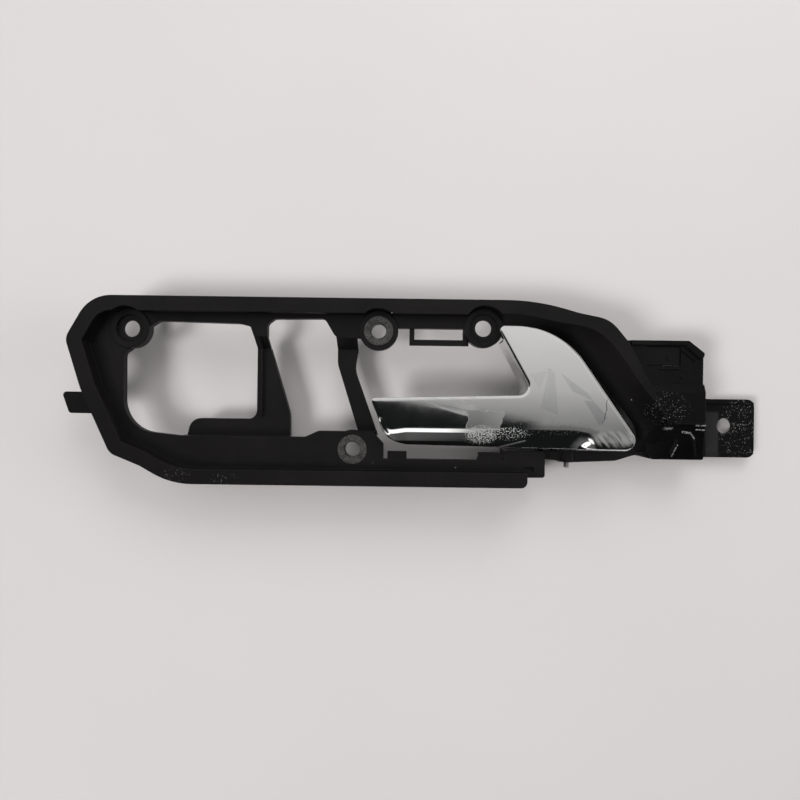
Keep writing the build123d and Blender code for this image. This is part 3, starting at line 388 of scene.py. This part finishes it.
# ---------------------------------------------------------------- return spring
# Torsion spring of round music wire, coiled round the pin, with one leg on the carrier and
# one under the lever. Black oxide finish with a film of old grease.
SPRING_WIRE = 0.00055
SPRING_RADIUS = 0.0029
SPRING_PITCH = 0.0020
SPRING_TURNS = 4
SPRING_STEPS = 24
SPRING_LOW_Y = -0.009
AXIS_X, AXIS_Z = 0.086, 0.018
BRIDGE_END = (0.0728, SPRING_LOW_Y, 0.0148)
PLATE_END = (0.0966, SPRING_LOW_Y + SPRING_TURNS * SPRING_PITCH, 0.0290)
spring_path = bpy.data.curves.new("return_spring_wire", "CURVE")
spring_path.dimensions = "3D"
spring_path.bevel_depth = SPRING_WIRE
spring_path.bevel_resolution = 4
spring_path.use_fill_caps = True
wire_points = [BRIDGE_END]
for i in range(SPRING_TURNS * SPRING_STEPS + 1):
    turn = 2 * math.pi * i / SPRING_STEPS
    wire_points.append((
        AXIS_X + SPRING_RADIUS * math.sin(turn),
        SPRING_LOW_Y + SPRING_PITCH * i / SPRING_STEPS,
        AXIS_Z + SPRING_RADIUS * math.cos(turn),
    ))
wire_points.append(PLATE_END)
line = spring_path.splines.new("POLY")
line.points.add(len(wire_points) - 1)
for point, wire_point in zip(line.points, wire_points):
    point.co = (*wire_point, 1)


def mesh_of(blank):
    """The finished mesh of a blank, with its modifiers applied; the blank itself is thrown away."""
    scene.collection.objects.link(blank)
    made = bpy.data.meshes.new_from_object(blank.evaluated_get(bpy.context.evaluated_depsgraph_get()))
    bpy.data.objects.remove(blank)
    return made


spring_data = mesh_of(bpy.data.objects.new("spring_blank", spring_path))
spring_data.shade_smooth()
spring = bpy.data.objects.new("return_spring_wire", spring_data)
scene.collection.objects.link(spring)
spring_steel, tree, shader, place = finish_named("oiled_spring_wire")
grease = noise(tree, place, 500.0, 4.0)
base = blend_colour(tree, grease, (0.05, 0.05, 0.05, 1), (0.16, 0.155, 0.15, 1))
tree.links.new(base, shader.inputs["Base Color"])
shader.inputs["Metallic"].default_value = 1.0
tree.links.new(span(tree, grease, 0.3, 0.7, 0.25, 0.5), shader.inputs["Roughness"])
spring_data.materials.clear()
spring_data.materials.append(spring_steel)
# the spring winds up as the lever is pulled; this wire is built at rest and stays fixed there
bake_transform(spring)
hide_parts("return_spring")

# ---------------------------------------------------------------- rest buffers
# Two small round buttons of black rubber, pushed into the bridge of the carrier, that the
# lever rests on. Matt, with a grey bloom of age.
rubber, tree, shader, place = finish_named("buffer_rubber")
rounded = soft_edges(tree, 0.0003)[0]
bloom = noise(tree, place, 600.0, 4.0)
base = blend_colour(tree, bloom, (0.010, 0.010, 0.010, 1), (0.030, 0.030, 0.029, 1))
tree.links.new(base, shader.inputs["Base Color"])
tree.links.new(span(tree, bloom, 0.3, 0.7, 0.7, 0.9), shader.inputs["Roughness"])
emboss(tree, shader, bloom, 0.3, 0.00005, rounded)
dress("rest_buffers", rubber)

# ---------------------------------------------------------------- cable retainer
# Small clip that snaps over the sheath of the release cable and holds it in its seat. Moulded
# in black acetal, smoother than the carrier.
acetal, tree, shader, place = finish_named("acetal_clip")
rounded, arris = soft_edges(tree, 0.0003)
cloud = noise(tree, place, 160.0, 4.0)
base = blend_colour(tree, cloud, (0.0025, 0.0025, 0.0027, 1), (0.0050, 0.0050, 0.0053, 1))
base = blend_colour(tree, product(tree, arris, 0.4), base, (0.020, 0.020, 0.021, 1))
tree.links.new(base, shader.inputs["Base Color"])
tree.links.new(span(tree, cloud, 0.3, 0.7, 0.28, 0.44), shader.inputs["Roughness"])
shader.inputs["Specular IOR Level"].default_value = 0.20
emboss(tree, shader, noise(tree, place, 1500.0), 0.25, 0.00005, rounded)
dress("cable_retainer", acetal)

# ---------------------------------------------------------------- lever hinge body
# Grey-black moulding of glass filled nylon, bonded into the back of the lever. It carries the
# lugs that turn on the pin, the arm that pulls the cable and the pads that meet the buffers.
hinge_plastic, tree, shader, place = finish_named("hinge_moulding")
rounded, arris = soft_edges(tree, 0.0004)
cloud = noise(tree, place, 130.0, 5.0, 0.6)
base = blend_colour(tree, cloud, (0.012, 0.012, 0.0125, 1), (0.030, 0.030, 0.031, 1))
base = blend_colour(tree, product(tree, arris, 0.4), base, (0.07, 0.07, 0.07, 1))
tree.links.new(base, shader.inputs["Base Color"])
tree.links.new(span(tree, cloud, 0.3, 0.7, 0.42, 0.6), shader.inputs["Roughness"])
emboss(tree, shader, noise(tree, place, 1700.0), 0.3, 0.00006, rounded)
dress("lever_hinge_body", hinge_plastic)

# ---------------------------------------------------------------- release lever
# Chrome plated lever, turning on the pin. Its lacquer has worn to a cloudy film over the middle
# of the grip, with a crust of white flecks on the facet below, folds on the plate and one crack.
chrome, tree, shader, place = finish_named("worn_chrome")
rounded = soft_edges(tree, 0.0004)[0]
flat = put(tree, "VectorMath", {0: place, 1: (1, 1, 0)}, operation="MULTIPLY").outputs[0]
smear = noise(tree, flat, 55.0, 4.0, 0.6)
ragged = noise(tree, flat, 420.0, 5.0, 0.7)
bites = put(tree, "TexVoronoi", {"Vector": flat, "Scale": 330.0, "Randomness": 1.0}).outputs["Distance"]
base = blend_colour(tree, smear, (0.78, 0.785, 0.78, 1), (0.85, 0.85, 0.845, 1))

# cloudy film with a scalloped edge, a thin wispy veil to its left, and dull wisps in the corner
flat_axes = put(tree, "SeparateXYZ", {0: flat}).outputs
bitten = maths(tree, "ADD", product(tree, bites, 0.0022), product(tree, ragged, 0.0020))
from_left = maths(tree, "SUBTRACT", flat_axes["X"], bitten)
from_top = maths(tree, "ADD", flat_axes["Y"], bitten)
from_right = maths(tree, "SUBTRACT", flat_axes["X"], product(tree, flat_axes["Y"], 0.25))
from_right = maths(tree, "ADD", from_right, bitten)
film = product(
    tree, span(tree, from_left, 0.0246, 0.0250), span(tree, from_right, 0.0522, 0.0519),
    span(tree, from_top, -0.0068, -0.0073), span(tree, flat_axes["Y"], -0.0200, -0.0190),
    span(tree, flat_axes["Y"], -0.0180, -0.0075, 0.97, 0.80),
    span(tree, flat_axes["X"], 0.034, 0.048, 1.0, 0.85),
)
wisps = streaks(tree, flat, -13, 0.0019, 0.022)
above_line = maths(tree, "ADD", flat_axes["Y"], product(tree, flat_axes["X"], 0.235))
veil = product(
    tree, span(tree, above_line, -0.0063, -0.0058), span(tree, flat_axes["X"], -0.006, 0.014),
    span(tree, flat_axes["X"], 0.036, 0.030), span(tree, wisps, 0.40, 0.60, 0.04, 0.30),
)
corner = near(tree, flat, (0.1080, -0.0240, 0), (0.0150, 0.0055, 0.01))
corner_wisps = streaks(tree, flat, -52, 0.0016, 0.014)
veil = maths(tree, "MAXIMUM", veil, product(tree, corner, span(tree, corner_wisps, 0.44, 0.58, 0.0, 0.27)))
front = face_up(tree)
film = product(tree, maths(tree, "MAXIMUM", film, veil), front)

# crust of flecks below it, thickest at its left end
crust_left = near(tree, flat, (0.0350, -0.0222, 0), (0.0120, 0.0072, 0.01))
crust_right = near(tree, flat, (0.0480, -0.0215, 0), (0.0170, 0.0045, 0.01))
crust_line = stroke(tree, flat, (0.0455, -0.0293), (0.0590, -0.0255), 0.0006)
crust = maths(tree, "MAXIMUM", crust_left, product(tree, crust_right, 0.65))
grit = noise(tree, flat, 1250.0, 4.0, 0.7)
flecks = span(tree, maths(tree, "ADD", product(tree, crust, 0.145), grit), 0.650, 0.680)
flecks = product(tree, flecks, span(tree, crust, 0.02, 0.10), front)
flecks = maths(tree, "MAXIMUM", flecks, product(tree, crust_line, 0.14))


def wedge_of(tree, axes, corners, edge=0.0005):
    """1 inside a convex outline seen from above, its corners given anticlockwise."""
    inside = 1.0
    for (ax, ay), (bx, by) in zip(corners, corners[1:] + corners[:1]):
        side = math.hypot(bx - ax, by - ay)
        nx, ny = (ay - by) / side, (bx - ax) / side
        across = maths(tree, "ADD", product(tree, axes["X"], nx), product(tree, axes["Y"], ny))
        start = nx * ax + ny * ay
        inside = product(tree, inside, span(tree, across, start - edge / 2, start + edge / 2))
    return inside


# folds of the lacquer on the plate: long thin wedges with sharp sides
folds = 0.0
for corners, weight in (
    (((0.0712, 0.0141), (0.0668, -0.0075), (0.0765, -0.0110), (0.0742, 0.0120)), 0.42),
    (((0.0605, 0.0110), (0.0660, 0.0030), (0.0705, 0.0130)), 0.26),
    (((0.0775, 0.0120), (0.0840, 0.0020), (0.0960, -0.0035), (0.0925, 0.0010)), 0.62),
    (((0.0905, -0.0030), (0.0990, -0.0165), (0.1035, -0.0120), (0.0960, -0.0035)), 0.80),
    (((0.0600, 0.0110), (0.0600, 0.0100), (0.0715, 0.0134), (0.0785, 0.0118), (0.0715, 0.0142)), 0.85),
):
    fold = wedge_of(tree, flat_axes, corners)
    folds = maths(tree, "MAXIMUM", folds, product(tree, fold, weight))
folds = product(tree, folds, span(tree, ragged, 0.30, 0.60, 0.45, 0.75), front)

# the crack, and a few black pits
wobble = maths(tree, "SUBTRACT", noise(tree, flat, 260.0, 3.0, 0.7), 0.5)
shift = put(tree, "CombineXYZ", {"X": product(tree, wobble, 0.0034)}).outputs[0]
bent = put(tree, "VectorMath", {0: flat, 1: shift}, operation="ADD").outputs[0]
crack = maths(
    tree, "MAXIMUM",
    stroke(tree, bent, (0.1030, -0.0025), (0.1030, -0.0075), 0.00034),
    stroke(tree, bent, (0.1030, -0.0075), (0.1005, -0.0165), 0.00034),
)
pitted = near(tree, flat, (0.0720, -0.0180, 0), (0.0350, 0.0065, 0.01))
pit_grit = noise(tree, flat, 900.0, 3.0, 0.65)
pits = span(tree, maths(tree, "ADD", product(tree, pitted, 0.12), pit_grit), 0.735, 0.755)
pits = product(tree, pits, span(tree, pitted, 0.02, 0.10))

base = blend_colour(tree, folds, base, (0.50, 0.51, 0.515, 1))
base = blend_colour(tree, film, base, (0.072, 0.078, 0.075, 1))
base = blend_colour(tree, flecks, base, (0.36, 0.37, 0.36, 1))
dark_marks = product(tree, maths(tree, "MAXIMUM", crack, pits), front)
base = blend_colour(tree, dark_marks, base, (0.03, 0.032, 0.031, 1))
tree.links.new(base, shader.inputs["Base Color"])
dull = maths(tree, "MAXIMUM", maths(tree, "MAXIMUM", film, flecks), dark_marks)
tree.links.new(maths(tree, "SUBTRACT", 1.0, dull), shader.inputs["Metallic"])
gloss = span(tree, smear, 0.3, 0.7, 0.035, 0.075)
gloss = maths(tree, "ADD", gloss, product(tree, folds, 0.12))
gloss = maths(tree, "ADD", gloss, product(tree, dull, 0.42), clamp=True)
tree.links.new(gloss, shader.inputs["Roughness"])
relief = maths(tree, "ADD", flecks, product(tree, smear, 0.5))
emboss(tree, shader, relief, 0.25, 0.00004, rounded)

LEVER_CELL = 0.00045
FACE_DEPTH = 0.0065
FACE_TILT = 0.45
FACE_INSET = 3
ROLL_PASSES = 56
ROLL_SHARE = 0.5
CREASE_DROP = 0.0014
SCOOP_TOP = -0.0195
SCOOP_WIDTH = 0.0105
SCOOP_DIP = 0.0013
SCOOP_STRETCH = 0.0035
CORNER_DIP = 0.0007
CORNER_WIDTH = 0.0055
EDGE_PLACE = (-0.0158, -0.0284)
EDGE_SLOPE = 0.0164
CROWN_CENTRE = (0.055, 0.002)
CROWN_REACH = (0.075, 0.034)
CROWN_DROP = (0.0004, 0.0003)
EASE_PASSES = 4
EASE_SHARE = 0.4


def smooth_ramp(value, low, high):
    """0 below low, 1 above high, smooth between; works on arrays."""
    t = np.clip((value - low) / (high - low), 0.0, 1.0)
    return t * t * (3 - 2 * t)


# the plated skin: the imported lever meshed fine, then its creases rolled as polishing leaves them
raw = bpy.data.objects.new("lever_blank", nodes["release_lever"].data.copy())
remesh = raw.modifiers.new("fine", "REMESH")
remesh.mode = "VOXEL"
remesh.voxel_size = LEVER_CELL
skin_data = mesh_of(raw)
count = len(skin_data.vertices)
spots = np.empty(count * 3)
skin_data.vertices.foreach_get("co", spots)
spots = spots.reshape(-1, 3)
faces_up = np.empty(count * 3)
skin_data.vertices.foreach_get("normal", faces_up)
faces_up = faces_up.reshape(-1, 3)[:, 2]
pairs = np.empty(len(skin_data.edges) * 2, int)
skin_data.edges.foreach_get("vertices", pairs)
pairs = pairs.reshape(-1, 2)
ends = np.concatenate([pairs[:, 0], pairs[:, 1]])
far_ends = np.concatenate([pairs[:, 1], pairs[:, 0]])
links = np.bincount(ends, minlength=count)


def neighbour_mean(values):
    """Mean of each vertex's neighbours."""
    return np.bincount(ends, values[far_ends], minlength=count) / np.maximum(links, 1)


lever_low, lever_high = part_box("release_lever")
on_face = spots[:, 2] > lever_high.z - FACE_DEPTH
hold = (on_face & (faces_up > FACE_TILT)).astype(float)
for _ in range(FACE_INSET):
    hold = np.minimum(hold, neighbour_mean(hold))
hold = smooth_ramp(hold, 0.0, 1.0)
height = spots[:, 2].copy()
x, y = spots[:, 0].copy(), spots[:, 1].copy()
facet = hold * (1 - smooth_ramp(y, -0.0165, -0.0130)) * (1 - smooth_ramp(x, 0.096, 0.102))
scoop_across = np.clip((SCOOP_TOP - y) / SCOOP_WIDTH, 0.0, 1.0)
scoop_along = smooth_ramp(x, 0.040, 0.062) * (1 - smooth_ramp(x, 0.082, 0.095))
height -= facet * scoop_along * SCOOP_DIP * np.sin(math.pi * scoop_across)
for _ in range(ROLL_PASSES):
    height += facet * ROLL_SHARE * (neighbour_mean(height) - height)
# the crease sits low on the face
drop = smooth_ramp(y, -0.0300, -0.0215) * (1 - smooth_ramp(y, -0.0185, -0.0120))
drop *= 1 - smooth_ramp(x, 0.086, 0.096)
spots[:, 1] -= CREASE_DROP * drop * on_face
# and its right end stands a little further out
stretch = smooth_ramp(x, 0.066, 0.086) * (1 - smooth_ramp(x, 0.096, 0.114))
stretch *= 1 - smooth_ramp(y, -0.0215, -0.0165)
spots[:, 0] += SCOOP_STRETCH * stretch * on_face
# right of the facet the lower edge rolls over softly
above_edge = y - (EDGE_PLACE[1] - (x - EDGE_PLACE[0]) * EDGE_SLOPE)
roll = np.clip(1 - above_edge / CORNER_WIDTH, 0.0, 1.0) ** 2
height -= hold * roll * CORNER_DIP * smooth_ramp(x, 0.086, 0.100)
# the polished face is very slightly crowned
for reading, centre, reach, most in zip((x, y), CROWN_CENTRE, CROWN_REACH, CROWN_DROP):
    height -= hold * most * ((reading - centre) / reach) ** 2
spots[:, 2] = height
# the whole skin is eased a little, so that no cell shows in the plate
for _ in range(EASE_PASSES):
    for axis in range(3):
        spots[:, axis] += EASE_SHARE * (neighbour_mean(spots[:, axis]) - spots[:, axis])
spots = np.clip(spots, np.array(lever_low), np.array(lever_high))
skin_data.vertices.foreach_set("co", spots.ravel())
skin_data.update()
skin_data.shade_smooth()
lever = bpy.data.objects.new("chromed_lever", skin_data)
scene.collection.objects.link(lever)
skin_data.materials.clear()
skin_data.materials.append(chrome)
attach(lever, "lever_body")
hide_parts("release_lever")
